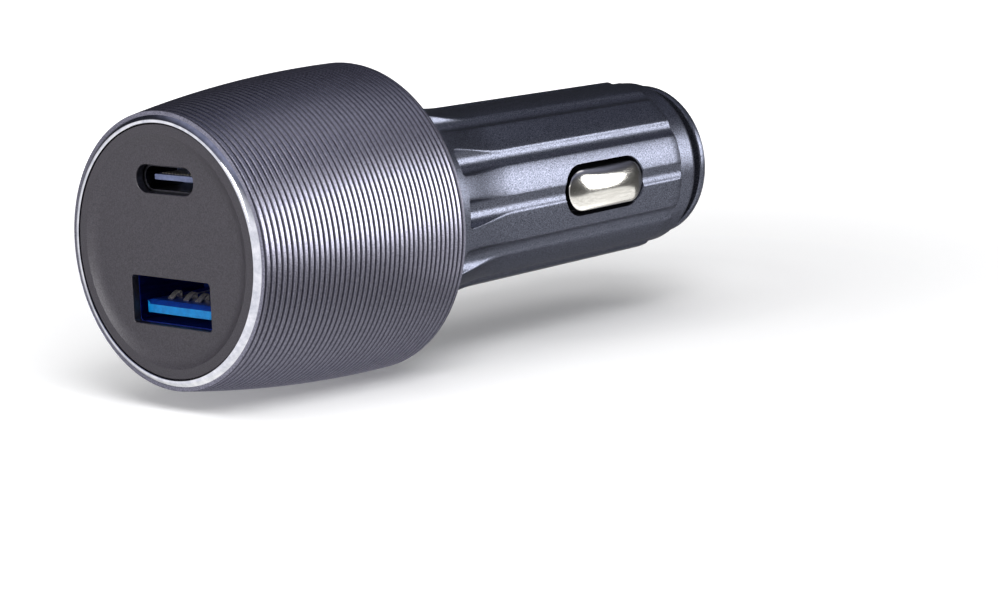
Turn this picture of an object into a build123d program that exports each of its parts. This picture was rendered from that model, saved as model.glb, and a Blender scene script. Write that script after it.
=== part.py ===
from build123d import *
from math import sqrt
import os

# Charger plug for a car's 12 V socket, with one USB-A and one USB-C port in its head.
# The plug's axis is Y: the ports face -Y, the sprung tip points to +Y, and +Z is up.
# The origin is on the axis, in the plane of the head's rear edge.  Sizes are in mm.

# Fits
push_gap = 0.05
running_gap = 0.06
slot_gap = 0.05

# Head sleeve, turned from aluminium
head_length = 29.4
head_front_r = 15.38
head_rear_r = 17.76
head_bulge = 0.71
head_rear_round = 0.35
rim_wall = 1.19
rim_lip = 0.36
rim_cut = 0.45
rim_shoulder = 0.62
groove_pitch = 0.70
groove_first = 0.70
groove_last = 0.70
groove_depth = 0.20
sleeve_step = 0.71
sleeve_step_depth = 4.0
recess_wall = 0.86
recess_depth = 1.55

# Face plate, a dished cap inside the rim
plate_gap = 0.12
plate_set_back = 0.15
plate_flat = 1.12
dish_slope = 1.75
dish_depth = 0.55
plate_floor = 1.0
plate_skirt = 1.2

# Barrel moulding: liner inside the sleeve, shoulder disc, flare and fluted barrel
liner_wall = 1.25
shoulder_set_in = 0.25
flare_flange = 1.1
collar_r = 11.9
collar_y = 7.0
taper_drop = 0.5
taper_length = 3.0
land_start = 16.0
land_start_r = 10.74
land_end = 46.35
land_end_r = 10.45
pilot_r = 10.0
pilot_length = 3.0
barrel_bore_r = 8.0
bore_mouth = 2.0
barrel_edge = 0.2

# Flutes, round grooves that keep one depth along the tapered lands
flute_count = 12
flute_start = 6.8
flute_r = 1.7
flute_depth = 0.32
flute_end_round = 0.6

# Nose cap
groove_width = 1.85
neck_r = 8.3
flange_r = 9.36
flange_t = 1.0
flange_edge = 0.25
boss_base_r = 7.4
boss_tip_r = 4.5
boss_height = 1.2
nose_wall = 2.0
spigot_length = 8.35
chamber_r = 4.4

# Tip contact, its spring and the terminal behind it
pin_r = 3.0
pin_reach = 5.6
pin_dome = 1.4
pin_shoulder_t = 1.4
pin_shoulder_gap = 0.15
pin_stub_r = 2.2
pin_stub = 1.4
spring_wire = 0.5
spring_mean_r = 2.9
spring_turns = 5
spring_sides = 8
terminal_t = 0.5
terminal_wall = 0.4
terminal_rim = 1.5
terminal_tab_w = 3.0
terminal_tab = 2.4
terminal_tab_t = 0.4

# Side contacts, which stand out of the car's socket wall by their travel
socket_r = 10.5
contact_travel = 1.5
contact_set_back = 14.39
window_length = 14.3
window_width = 6.0
contact_gap = 0.5
contact_wall = 0.5
contact_round = 1.5
foot_margin = 1.65
foot_side = 1.0
foot_t = 0.45
leaf_t = 0.25
leaf_width = 2.0
leaf_length = 13.0
leaf_clear = 0.04

# Earth strap
strap_t = 0.4
strap_half = 4.3
strap_length = 15.2
strap_top = 3.0
strap_bend = 0.8

# Ports
usb_a_z = -5.71
usb_a_hole_w = 12.63
usb_a_hole_h = 5.33
usb_a_hole_round = 0.4
usb_a_width = 12.5
usb_a_height = 5.12
usb_a_length = 14.0
usb_a_block = 4.5
tongue_a_width = 11.1
tongue_a_t = 1.4
tongue_a_rise = 0.87
tongue_a_inset = 0.5
tongue_a_chamfer = 0.48
contact_a_at = (-3.5, -1.0, 1.0, 3.5)
contact_a_width = 1.0
contact_a_t = 0.2
contact_a_crown = 0.3
contact_a_start = 1.1
contact_a_top = 2.2
contact_a_foot = 5.0
usb_c_z = 7.85
usb_c_hole_w = 9.21
usb_c_hole_h = 3.11
usb_c_width = 8.34
usb_c_height = 2.56
usb_c_length = 7.3
usb_c_block = 2.6
tongue_c_width = 6.7
tongue_c_t = 0.6
tongue_c_inset = 0.64
pad_c_count = 12
pad_c_pitch = 0.5
pad_c_width = 0.25
pad_c_t = 0.08
pad_c_inset = 0.7
shell_t = 0.3
shell_round = 0.5
tab_width = 2.4
tab_back = 4.0
tab_through = 0.6

# Boards and what they carry, each place taken from the boards' front edge
board_t = 1.6
board_c_t = 1.0
board_front = 1.0
board_length = 24.0
board_side = 1.2
board_c_side = 3.0
board_c_length = 14.2
tail_half = strap_half
board_tail_gap = 0.1
rail_t = 1.2
rail_grip = 1.5
rail_length = 16.0
header_pins_n = 4
header_pitch = 2.54
header_pin = 0.64
header_body = 2.5
header_back = 11.7
choke_size = 8.0
choke_height = 5.0
choke_x = -5.5
choke_back = 18.7
choke_round = 1.0
can_r = 3.15
can_in_length = 11.0
can_in_back = 10.7
can_crimp = 0.35
can_out_r = 2.5
can_out_height = 5.4
can_out_x = 5.8
can_out_back = 7.3
can_base = 5.3
can_base_t = 1.0
chip_size = 5.0
chip_t = 1.0
chip_x = -6.5
chip_back = 7.5
chip_c_size = 4.0
chip_c_t = 0.85
chip_c_back = 10.3

# Places that follow from the sizes above
rim_y = -head_length
groove_count = int((head_length - groove_first - groove_last) / groove_pitch + 0.5) + 1
rim_bore_r = head_front_r - rim_wall
sleeve_bore_r = rim_bore_r + sleeve_step
recess_r = head_rear_r - recess_wall
plate_r = rim_bore_r - plate_gap
plate_y = rim_y + plate_set_back
floor_y = plate_y + dish_depth
plate_back = floor_y + plate_floor
step_y = rim_y + sleeve_step_depth
liner_r = sleeve_bore_r - push_gap
liner_in_r = liner_r - liner_wall
barrel_end = land_end + pilot_length
flange_y = barrel_end + groove_width
boss_y = flange_y + flange_t
nose_tip = boss_y + boss_height
wall_y = nose_tip - nose_wall
spigot_start = barrel_end - spigot_length
terminal_y = spigot_start
spring_start = terminal_y + terminal_t
spring_end = wall_y - pin_shoulder_t
contact_y = land_end - contact_set_back
contact_top = socket_r + contact_travel
contact_length = window_length - 2 * contact_gap
contact_width = window_width - 2 * contact_gap
foot_length = contact_length + 2 * foot_margin
foot_width = contact_width + 2 * foot_side
foot_top = sqrt((barrel_bore_r - push_gap) ** 2 - (foot_width / 2) ** 2)
foot_under = foot_top - foot_t
shell_a_w = usb_a_width + 2 * shell_t
shell_a_h = usb_a_height + 2 * shell_t
shell_c_w = usb_c_width + 2 * shell_t
shell_c_h = usb_c_height + 2 * shell_t
board_under = usb_a_z + shell_a_h / 2
board_top = board_under + board_t
board_y = plate_back + board_front
board_end = terminal_y - board_tail_gap
board_c_top = usb_c_z - shell_c_h / 2
board_c_under = board_c_top - board_c_t
board_half = liner_in_r - board_side
board_c_half = liner_in_r - board_c_side
header_y = board_y + header_back
choke_at = (choke_x, board_y + choke_back)
can_in_start = board_y + board_length + can_in_back
can_out_at = (can_out_x, board_y + can_out_back)
chip_at = (chip_x, board_y + chip_back)
chip_c_at = (0, board_y + chip_c_back)
tongue_a_y = plate_back + tongue_a_inset
tongue_a_bottom = usb_a_z - usb_a_height / 2 + tongue_a_rise
tongue_a_top = tongue_a_bottom + tongue_a_t
block_a_y = plate_back + usb_a_length - usb_a_block
tongue_c_y = plate_back + tongue_c_inset
block_c_y = plate_back + usb_c_length - usb_c_block

os.makedirs("parts", exist_ok=True)


def across(y):
    """Plane across the plug at this y: X to the right, Z up, and -amount goes to the tip."""
    return Plane.XZ.offset(-y)


def head_radius(y):
    """Outer radius of the head, a shallow curve from the rim to the rear edge."""
    t = (y - rim_y) / head_length
    return head_front_r + (head_rear_r - head_front_r) * t + 4 * head_bulge * t * (1 - t)


def save(builder, name):
    """Label the finished piece and write its file."""
    builder.part.label = name
    export_step(builder.part, f"parts/{name}.step")


# Head sleeve: a turned tube with a cut rim and a ring groove every 0.7 mm
groove_outline = []
for i in range(groove_count):
    root_y = rim_y + groove_first + i * groove_pitch
    crest_y = root_y + groove_pitch / 2
    groove_outline.append((head_radius(root_y) - groove_depth, root_y))
    groove_outline.append((head_radius(crest_y), crest_y))

with BuildPart() as head_sleeve:
    with BuildSketch(Plane.XY):
        with BuildLine():
            Polyline(
                (rim_bore_r, rim_y),
                (rim_bore_r + rim_lip, rim_y),
                (rim_bore_r + rim_lip + rim_cut, rim_y + rim_cut),
                (head_radius(rim_y + rim_shoulder), rim_y + rim_shoulder),
                *groove_outline,
                (head_rear_r - head_rear_round, 0),
                (recess_r, 0),
                (recess_r, -recess_depth),
                (sleeve_bore_r, -recess_depth),
                (sleeve_bore_r, step_y),
                (rim_bore_r, step_y),
                close=True,
            )
        make_face()
    revolve(axis=Axis.Y)
save(head_sleeve, "head_sleeve")

# Face plate: flat rim, dished slope, flat floor with the two port holes, and a skirt behind
with BuildPart() as face_plate:
    with BuildSketch(Plane.XY):
        with BuildLine():
            floor_edge = (plate_r - plate_flat - dish_slope, floor_y)
            Line((0, floor_y), floor_edge)
            TangentArc(floor_edge, (plate_r - plate_flat, plate_y), tangent=(1, 0))
            Polyline(
                (plate_r - plate_flat, plate_y),
                (plate_r, plate_y),
                (plate_r, step_y),
                (plate_r - plate_skirt, step_y),
                (plate_r - plate_skirt, plate_back),
                (0, plate_back),
                (0, floor_y),
            )
        make_face()
    revolve(axis=Axis.Y)
    with BuildSketch(across(plate_back)):
        with Locations((0, usb_a_z)):
            RectangleRounded(usb_a_hole_w, usb_a_hole_h, usb_a_hole_round)
        with Locations((0, usb_c_z)):
            SlotOverall(usb_c_hole_w, usb_c_hole_h)
    extrude(amount=plate_floor + dish_depth, mode=Mode.SUBTRACT)
save(face_plate, "face_plate")

# One flute: a round groove along the land's taper, which ends in a rounded wall in the collar
land_taper = (land_end_r - land_start_r) / (land_end - land_start)
flute_middle = land_start_r - flute_depth + flute_r + land_taper * (flute_start - land_start)
flute_plane = Plane(origin=(flute_middle, flute_start, 0), z_dir=(land_taper, 1, 0))
with BuildPart() as flute:
    with BuildSketch(flute_plane):
        Circle(flute_r)
    extrude(amount=land_end - flute_start)
    fillet(flute.edges().sort_by(Axis.Y)[0], flute_end_round)

# Barrel: one moulding from the liner inside the head to the smooth pilot ring at the nose
flare_start_r = collar_r + flare_flange
with BuildPart() as plug_barrel:
    with BuildSketch(Plane.XY):
        with BuildLine():
            Polyline(
                (liner_in_r, step_y),
                (liner_r, step_y),
                (liner_r, -recess_depth),
                (recess_r - push_gap, -recess_depth),
                (recess_r - push_gap, -shoulder_set_in),
                (flare_start_r, -shoulder_set_in),
            )
            Spline(
                (flare_start_r, -shoulder_set_in),
                (collar_r, collar_y),
                (collar_r - taper_drop, collar_y + taper_length),
                (land_start_r, land_start),
                tangents=((-flare_flange, collar_y / 2), (land_taper, 1)),
            )
            Polyline(
                (land_start_r, land_start),
                (land_end_r, land_end - barrel_edge),
                (land_end_r - barrel_edge, land_end),
                (pilot_r, land_end),
                (pilot_r, barrel_end - barrel_edge),
                (pilot_r - barrel_edge, barrel_end),
                (barrel_bore_r, barrel_end),
                (barrel_bore_r, bore_mouth),
                (liner_in_r, -recess_depth),
                (liner_in_r, step_y),
            )
        make_face()
    revolve(axis=Axis.Y)
    for i in range(flute_count):
        add(flute.part.rotate(Axis.Y, i * 360 / flute_count), mode=Mode.SUBTRACT)
    with BuildSketch(Plane.YZ):
        with Locations((contact_y, 0)):
            SlotOverall(window_length, window_width)
    extrude(amount=contact_top, both=True, mode=Mode.SUBTRACT)
    rail_out = (liner_in_r + liner_r) / 2
    for top, under, half in (
        (board_top, board_under, board_half),
        (board_c_top, board_c_under, board_c_half),
    ):
        rail_in = half - rail_grip
        upper_z = top + slot_gap + rail_t / 2
        lower_z = under - slot_gap - rail_t / 2
        with BuildSketch(across(step_y)) as rails:
            for z in (upper_z, lower_z):
                reach = sqrt(rail_out**2 - (abs(z) + rail_t / 2) ** 2)
                for side in (-1, 1):
                    with Locations((side * (rail_in + reach) / 2, z)):
                        Rectangle(reach - rail_in, rail_t)
        extrude(amount=-rail_length)
save(plug_barrel, "plug_barrel")

# Nose cap: spigot in the barrel, a neck that leaves a dark groove, a thin flange and a boss
with BuildPart() as nose_cap:
    with BuildSketch(Plane.XY):
        with BuildLine():
            Polyline(
                (chamber_r, spigot_start),
                (barrel_bore_r - push_gap, spigot_start),
                (barrel_bore_r - push_gap, barrel_end),
                (neck_r, barrel_end),
                (neck_r, flange_y),
                (flange_r - flange_edge, flange_y),
                (flange_r, flange_y + flange_edge),
                (flange_r, boss_y - flange_edge),
                (flange_r - flange_edge, boss_y),
                (boss_base_r, boss_y),
                (boss_tip_r, nose_tip),
                (pin_r + running_gap, nose_tip),
                (pin_r + running_gap, wall_y),
                (chamber_r, wall_y),
                close=True,
            )
        make_face()
    revolve(axis=Axis.Y)
save(nose_cap, "nose_cap")

# Centre pin: domed tip, a shoulder that stops behind the nose wall, a stub inside the spring
pin_tip = nose_tip + pin_reach
shoulder_r = chamber_r - pin_shoulder_gap
with BuildPart() as centre_pin:
    with BuildSketch(Plane.XY):
        with BuildLine():
            Polyline(
                (0, pin_tip),
                (0, spring_end - pin_stub),
                (pin_stub_r, spring_end - pin_stub),
                (pin_stub_r, spring_end),
                (shoulder_r, spring_end),
                (shoulder_r, wall_y),
                (pin_r, wall_y),
                (pin_r, pin_tip - pin_dome),
            )
            TangentArc((0, pin_tip), (pin_r, pin_tip - pin_dome), tangent=(1, 0))
        make_face()
    revolve(axis=Axis.Y)
save(centre_pin, "centre_pin")

# Pin spring: a wire coil between the terminal and the pin's shoulder, its section eight-sided
coil_length = spring_end - spring_start - spring_wire
coil_start = spring_start + spring_wire / 2
with BuildPart() as pin_spring:
    with BuildLine():
        coil = Helix(
            pitch=coil_length / spring_turns,
            height=coil_length,
            radius=spring_mean_r,
            center=(0, coil_start, 0),
            direction=(0, 1, 0),
        )
    with BuildSketch(Plane(origin=coil @ 0, z_dir=coil % 0)):
        RegularPolygon(spring_wire / 2, spring_sides)
    sweep(is_frenet=True)
save(pin_spring, "pin_spring")

# Positive terminal: a brass cup behind the spring with a tab on the board
with BuildPart() as positive_terminal:
    with BuildSketch(Plane.XY):
        with BuildLine():
            cup_r = chamber_r - push_gap
            Polyline(
                (0, terminal_y),
                (cup_r, terminal_y),
                (cup_r, terminal_y + terminal_rim),
                (cup_r - terminal_wall, terminal_y + terminal_rim),
                (cup_r - terminal_wall, spring_start),
                (0, spring_start),
                close=True,
            )
        make_face()
    revolve(axis=Axis.Y)
    with BuildSketch(across(terminal_y)):
        with Locations((0, board_top + terminal_tab_t / 2)):
            Rectangle(terminal_tab_w, terminal_tab_t)
    extrude(amount=terminal_tab)
save(positive_terminal, "positive_terminal")

# Side contact: a deep-drawn stadium button with a wide foot that stays inside the barrel
with BuildPart() as side_contact_right:
    with BuildSketch(Plane.YZ.offset(foot_under)):
        with Locations((contact_y, 0)):
            RectangleRounded(foot_length, foot_width, contact_round)
    extrude(amount=foot_t)
    with BuildSketch(Plane.YZ.offset(foot_top)):
        with Locations((contact_y, 0)):
            SlotOverall(contact_length, contact_width)
    extrude(amount=contact_top - foot_top)
    fillet(side_contact_right.faces().sort_by(Axis.X)[-1].edges(), contact_round)
    with BuildSketch(Plane.YZ.offset(foot_under)):
        with Locations((contact_y, 0)):
            SlotOverall(contact_length - 2 * contact_wall, contact_width - 2 * contact_wall)
    extrude(amount=contact_top - contact_round - foot_under, mode=Mode.SUBTRACT)
save(side_contact_right, "side_contact_right")

with BuildPart() as side_contact_left:
    add(side_contact_right.part)
    mirror(about=Plane.YZ, mode=Mode.REPLACE)
save(side_contact_left, "side_contact_left")

# Contact springs: a bowed leaf between the earth strap and each contact's foot
leaf_crown = foot_under - leaf_clear
with BuildPart() as contact_spring_right:
    with BuildSketch(Plane.XY):
        with BuildLine():
            near = contact_y - leaf_length / 2
            far = contact_y + leaf_length / 2
            ThreePointArc(
                (strap_half + leaf_t, near),
                (leaf_crown, contact_y),
                (strap_half + leaf_t, far),
            )
            Line((strap_half + leaf_t, far), (strap_half, far))
            ThreePointArc(
                (strap_half, far),
                (leaf_crown - leaf_t, contact_y),
                (strap_half, near),
            )
            Line((strap_half, near), (strap_half + leaf_t, near))
        make_face()
    extrude(amount=leaf_width / 2, both=True)
save(contact_spring_right, "contact_spring_right")

with BuildPart() as contact_spring_left:
    add(contact_spring_right.part)
    mirror(about=Plane.YZ, mode=Mode.REPLACE)
save(contact_spring_left, "contact_spring_left")

# Earth strap: a bent saddle that stands on the board and carries both leaves
with BuildPart() as earth_strap:
    with BuildSketch(across(contact_y - strap_length / 2)):
        with BuildLine():
            leg = strap_half - strap_t / 2
            FilletPolyline(
                (-leg, board_top),
                (-leg, strap_top - strap_t / 2),
                (leg, strap_top - strap_t / 2),
                (leg, board_top),
                radius=strap_bend,
            )
        trace(line_width=strap_t)
    extrude(amount=-strap_length)
save(earth_strap, "earth_strap")

# USB-A shell: a folded steel sleeve hung under the board, with a tab through it each side
tab_y = plate_back + tab_back
tab_x = shell_a_w / 2 - shell_t / 2
with BuildPart() as usb_a_shell:
    with BuildSketch(across(plate_back)):
        with Locations((0, usb_a_z)):
            RectangleRounded(shell_a_w, shell_a_h, shell_round)
            RectangleRounded(usb_a_width, usb_a_height, shell_round - shell_t, mode=Mode.SUBTRACT)
    extrude(amount=-usb_a_length)
    with BuildSketch(Plane.XY.offset(usb_a_z)):
        with Locations((tab_x, tab_y), (-tab_x, tab_y)):
            Rectangle(shell_t, tab_width)
    extrude(amount=board_top + tab_through - usb_a_z)
save(usb_a_shell, "usb_a_shell")

# USB-A insulator: rear block with a low tongue that carries the contacts on its top
with BuildPart() as usb_a_tongue:
    with BuildSketch(across(block_a_y)):
        with Locations((0, usb_a_z)):
            Rectangle(usb_a_width - 2 * push_gap, usb_a_height - 2 * push_gap)
    extrude(amount=-usb_a_block)
    with BuildSketch(across(tongue_a_y)):
        with Locations((0, tongue_a_bottom + tongue_a_t / 2)):
            Rectangle(tongue_a_width, tongue_a_t)
    extrude(amount=-(block_a_y - tongue_a_y))
    front_edges = usb_a_tongue.faces().sort_by(Axis.Y)[0].edges()
    chamfer(front_edges.sort_by(Axis.Z)[-1], tongue_a_chamfer)
save(usb_a_tongue, "usb_a_tongue")

# USB-A contacts: four sprung fingers on the tongue and their tails up to the board
finger_z = tongue_a_top + contact_a_t / 2
tail_y = block_a_y + usb_a_block + contact_a_t / 2
with BuildPart() as usb_a_contacts:
    for x in contact_a_at:
        with BuildSketch(Plane.YZ.offset(x - contact_a_width / 2)):
            with BuildLine():
                Polyline(
                    (tongue_a_y + contact_a_start, finger_z),
                    (tongue_a_y + contact_a_top, finger_z + contact_a_crown),
                    (tongue_a_y + contact_a_foot, finger_z),
                    (block_a_y, finger_z),
                )
            trace(line_width=contact_a_t)
            with Locations((tail_y, (tongue_a_top + board_under) / 2)):
                Rectangle(contact_a_t, board_under - tongue_a_top)
        extrude(amount=contact_a_width)
save(usb_a_contacts, "usb_a_contacts")

# USB-C shell: a drawn steel stadium on top of its own board
with BuildPart() as usb_c_shell:
    with BuildSketch(across(plate_back)):
        with Locations((0, usb_c_z)):
            SlotOverall(shell_c_w, shell_c_h)
            SlotOverall(usb_c_width, usb_c_height, mode=Mode.SUBTRACT)
    extrude(amount=-usb_c_length)
save(usb_c_shell, "usb_c_shell")

# USB-C insulator: rear block with a thin tongue on the port's middle
with BuildPart() as usb_c_tongue:
    with BuildSketch(across(block_c_y)):
        with Locations((0, usb_c_z)):
            SlotOverall(usb_c_width - 2 * push_gap, usb_c_height - 2 * push_gap)
    extrude(amount=-usb_c_block)
    with BuildSketch(across(tongue_c_y)):
        with Locations((0, usb_c_z)):
            Rectangle(tongue_c_width, tongue_c_t)
    extrude(amount=-(block_c_y - tongue_c_y))
save(usb_c_tongue, "usb_c_tongue")

# USB-C contacts: a row of flat pads on each face of the tongue
pad_y = tongue_c_y + pad_c_inset
pad_z = usb_c_z + tongue_c_t / 2 + pad_c_t / 2
with BuildPart() as usb_c_contacts:
    with BuildSketch(across(pad_y)):
        for z in (pad_z, 2 * usb_c_z - pad_z):
            with Locations((0, z)):
                with GridLocations(pad_c_pitch, 1, pad_c_count, 1):
                    Rectangle(pad_c_width, pad_c_t)
    extrude(amount=-(block_c_y - pad_y))
save(usb_c_contacts, "usb_c_contacts")

# Main board: wide in the head, with a narrow tail down the barrel and slots for the tabs
with BuildPart() as main_board:
    with BuildSketch(Plane.XY.offset(board_under)):
        with Locations((0, board_y + board_length / 2)):
            Rectangle(2 * board_half, board_length)
        with Locations((0, (board_y + board_end) / 2)):
            Rectangle(2 * tail_half, board_end - board_y)
        with Locations((tab_x, tab_y), (-tab_x, tab_y)):
            Rectangle(shell_t + 2 * slot_gap, tab_width + 2 * slot_gap, mode=Mode.SUBTRACT)
    extrude(amount=board_t)
save(main_board, "main_board")

# USB-C board: a small board on the upper rails
with BuildPart() as usb_c_board:
    with BuildSketch(Plane.XY.offset(board_c_under)):
        with Locations((0, board_y + board_c_length / 2)):
            Rectangle(2 * board_c_half, board_c_length)
    extrude(amount=board_c_t)
save(usb_c_board, "usb_c_board")

# Header between the boards: a plastic strip and its square pins
with BuildPart() as header_base:
    with BuildSketch(Plane.XY.offset(board_top)):
        with Locations((0, header_y)):
            Rectangle(header_pins_n * header_pitch, header_body)
            with GridLocations(header_pitch, 1, header_pins_n, 1):
                Rectangle(header_pin + 2 * slot_gap, header_pin + 2 * slot_gap, mode=Mode.SUBTRACT)
    extrude(amount=header_body)
save(header_base, "header_base")

with BuildPart() as header_pins:
    with BuildSketch(Plane.XY.offset(board_top)):
        with Locations((0, header_y)):
            with GridLocations(header_pitch, 1, header_pins_n, 1):
                Rectangle(header_pin, header_pin)
    extrude(amount=board_c_under - board_top)
save(header_pins, "header_pins")

# Power choke: a square moulded coil on the main board
with BuildPart() as power_choke:
    with BuildSketch(Plane.XY.offset(board_top)):
        with Locations(choke_at):
            RectangleRounded(choke_size, choke_size, choke_round)
    extrude(amount=choke_height)
save(power_choke, "power_choke")

# Input capacitor: an aluminium can lying on the board's tail, crimped near its end
can_z = board_top + can_r + slot_gap
with BuildPart() as input_capacitor:
    with BuildSketch(Plane.XY.offset(can_z)):
        with BuildLine():
            crimp_y = can_in_start + 2 * can_crimp
            Polyline(
                (0, can_in_start),
                (can_r, can_in_start),
                (can_r, crimp_y),
                (can_r - can_crimp, crimp_y + can_crimp),
                (can_r, crimp_y + 2 * can_crimp),
                (can_r, can_in_start + can_in_length),
                (0, can_in_start + can_in_length),
                close=True,
            )
        make_face()
    revolve(axis=Axis((0, 0, can_z), (0, 1, 0)))
save(input_capacitor, "input_capacitor")

# Output capacitor: an upright can on its square base
with BuildPart() as output_capacitor:
    with BuildSketch(Plane.XY.offset(board_top)):
        with Locations(can_out_at):
            Rectangle(can_base, can_base)
    extrude(amount=can_base_t)
    with BuildSketch(Plane.XY.offset(board_top + can_base_t)):
        with Locations(can_out_at):
            Circle(can_out_r)
    extrude(amount=can_out_height - can_base_t)
save(output_capacitor, "output_capacitor")

# Converter chip on the main board and controller chip on the USB-C board
with BuildPart() as converter_chip:
    with BuildSketch(Plane.XY.offset(board_top)):
        with Locations(chip_at):
            Rectangle(chip_size, chip_size)
    extrude(amount=chip_t)
save(converter_chip, "converter_chip")

with BuildPart() as controller_chip:
    with BuildSketch(Plane.XY.offset(board_c_top)):
        with Locations(chip_c_at):
            Rectangle(chip_c_size, chip_c_size)
    extrude(amount=chip_c_t)
save(controller_chip, "controller_chip")
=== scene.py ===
from math import acos, atan2, cos, hypot, pi, radians, sin, sqrt

import bmesh
import bpy
from mathutils import Matrix, Vector


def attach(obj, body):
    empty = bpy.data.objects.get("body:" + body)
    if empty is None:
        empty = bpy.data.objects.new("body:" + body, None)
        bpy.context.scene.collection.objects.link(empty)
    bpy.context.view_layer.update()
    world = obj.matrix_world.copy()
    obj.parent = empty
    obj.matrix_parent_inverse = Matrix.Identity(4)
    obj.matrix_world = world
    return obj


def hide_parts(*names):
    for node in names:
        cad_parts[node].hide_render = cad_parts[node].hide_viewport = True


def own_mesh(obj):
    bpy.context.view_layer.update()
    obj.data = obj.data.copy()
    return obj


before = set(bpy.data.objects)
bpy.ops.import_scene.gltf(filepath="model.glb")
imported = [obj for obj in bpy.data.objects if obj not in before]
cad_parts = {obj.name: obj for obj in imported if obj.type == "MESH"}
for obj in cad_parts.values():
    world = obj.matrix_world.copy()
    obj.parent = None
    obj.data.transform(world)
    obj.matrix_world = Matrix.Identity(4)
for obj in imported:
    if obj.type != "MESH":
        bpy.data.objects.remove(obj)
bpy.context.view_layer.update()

# Head sleeve: an aluminium tube, turned with 41 ring grooves, bead blasted and anodised grey.
# Its front lip is cut bright with a diamond tool after the anodising, so it is bare metal.
MM = 0.001
rim_y = -29.4
head_front_r = 15.38
head_rear_r = 17.76
head_bulge = 0.71
lip_bore_r = 14.19
liner_front_y = -25.4
liner_bore_r = 14.9
recess_r = 16.9
recess_y = -1.55
groove_count = 41
groove_pitch = 0.70
groove_depth = 0.26
# Across a groove: the place in shares of the pitch from its root, and the share of its depth.
groove_shape = (
    (-0.27, 0.02), (-0.21, 0.14), (-0.14, 0.5), (-0.05, 0.94),
    (0.05, 0.94), (0.14, 0.5), (0.21, 0.14), (0.27, 0.02),
)
weld_gap = 0.0005


def pick(piece, kind, wanted):
    """Select in edit mode the verts, edges or faces that are wanted, and nothing else."""
    bpy.ops.mesh.select_all(action="DESELECT")
    mesh = bmesh.from_edit_mesh(piece.data)
    for item in getattr(mesh, kind):
        if wanted(item):
            item.select_set(True)
    bmesh.update_edit_mesh(piece.data)


def sharp_corner(corner):
    """True where an outline turns by more than 30 degrees."""
    if len(corner.link_edges) != 2:
        return False
    before, after = (edge.other_vert(corner).co - corner.co for edge in corner.link_edges)
    return before.angle(after) < radians(150)


def turned(name, outline, steps, rounding=0.0):
    """Draw an outline of (radius, y) points in mm, round its corners, spin it about the axis."""
    bpy.ops.object.select_all(action="DESELECT")
    bpy.ops.mesh.primitive_plane_add(size=MM)
    piece = bpy.context.object
    piece.name = name
    bpy.ops.object.mode_set(mode="EDIT")
    bpy.ops.mesh.merge(type="CENTER")
    radius, y = outline[0]
    bpy.ops.transform.translate(value=(radius * MM, y * MM, 0))
    for next_radius, next_y in outline[1:]:
        step = ((next_radius - radius) * MM, (next_y - y) * MM, 0)
        bpy.ops.mesh.extrude_region_move(TRANSFORM_OT_translate={"value": step})
        radius, y = next_radius, next_y
    bpy.ops.mesh.select_all(action="SELECT")
    bpy.ops.mesh.remove_doubles(threshold=weld_gap * MM)
    if rounding:
        pick(piece, "verts", sharp_corner)
        bpy.ops.mesh.bevel(affect="VERTICES", offset=rounding * MM, segments=4)
    bpy.ops.mesh.select_all(action="SELECT")
    bpy.ops.mesh.spin(steps=steps, angle=2 * pi, center=(0, 0, 0), axis=(0, 1, 0))
    bpy.ops.mesh.select_all(action="SELECT")
    bpy.ops.mesh.remove_doubles(threshold=weld_gap * MM)
    bpy.ops.mesh.normals_make_consistent(inside=False)
    bpy.ops.object.mode_set(mode="OBJECT")
    bpy.ops.object.shade_smooth_by_angle(angle=radians(30))
    return piece


def colour(code):
    """Linear colour of an sRGB hex value."""
    channels = [int(code[i:i + 2], 16) / 255 for i in (1, 3, 5)]
    return [c / 12.92 if c <= 0.04045 else ((c + 0.055) / 1.055) ** 2.4 for c in channels] + [1]


def new_material(name, **sockets):
    """A material with these values on its shader's sockets."""
    material = bpy.data.materials.new(name)
    material.use_nodes = True
    shader = material.node_tree.nodes["Principled BSDF"]
    for socket, value in sockets.items():
        shader.inputs[socket.replace("_", " ")].default_value = value
    return material, shader


def node(material, kind, inputs=(), **settings):
    """Add a node with its settings. inputs are its sockets' values or the outputs linked to them."""
    added = material.node_tree.nodes.new("ShaderNode" + kind)
    for name, value in settings.items():
        setattr(added, name, value)
    for socket, value in dict(inputs).items():
        if isinstance(value, bpy.types.NodeSocket):
            material.node_tree.links.new(value, added.inputs[socket])
        else:
            added.inputs[socket].default_value = value
    return added


def join(material, output, socket):
    """Link an output to a socket."""
    material.node_tree.links.new(output, socket)


def head_radius(y):
    """Outer radius of the head, a shallow curve from the rim to the rear edge."""
    t = 1 - y / rim_y
    return head_front_r + (head_rear_r - head_front_r) * t + 4 * head_bulge * t * (1 - t)


def grained(name, dark, light, span, grain, relief, stretch=(1, 1, 1), **sockets):
    """A material with a noise of this grain in mm: from dark to light over span, and a relief in mm."""
    material, shader = new_material(name, **sockets)
    place = node(material, "TexCoord").outputs["Object"]
    drawn_out = node(material, "Mapping", {"Vector": place, "Scale": stretch})
    noise = node(
        material, "TexNoise",
        {"Vector": drawn_out.outputs["Vector"], "Scale": 1 / (grain * MM), "Detail": 2.0},
    )
    tint = node(material, "ValToRGB", {"Fac": noise.outputs["Fac"]})
    for stop, position, code in zip(tint.color_ramp.elements, span, (dark, light)):
        stop.position = position
        stop.color = colour(code)
    join(material, tint.outputs["Color"], shader.inputs["Base Color"])
    bump = node(material, "Bump", {"Height": noise.outputs["Fac"], "Distance": relief * MM})
    join(material, bump.outputs["Normal"], shader.inputs["Normal"])
    return material


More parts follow.
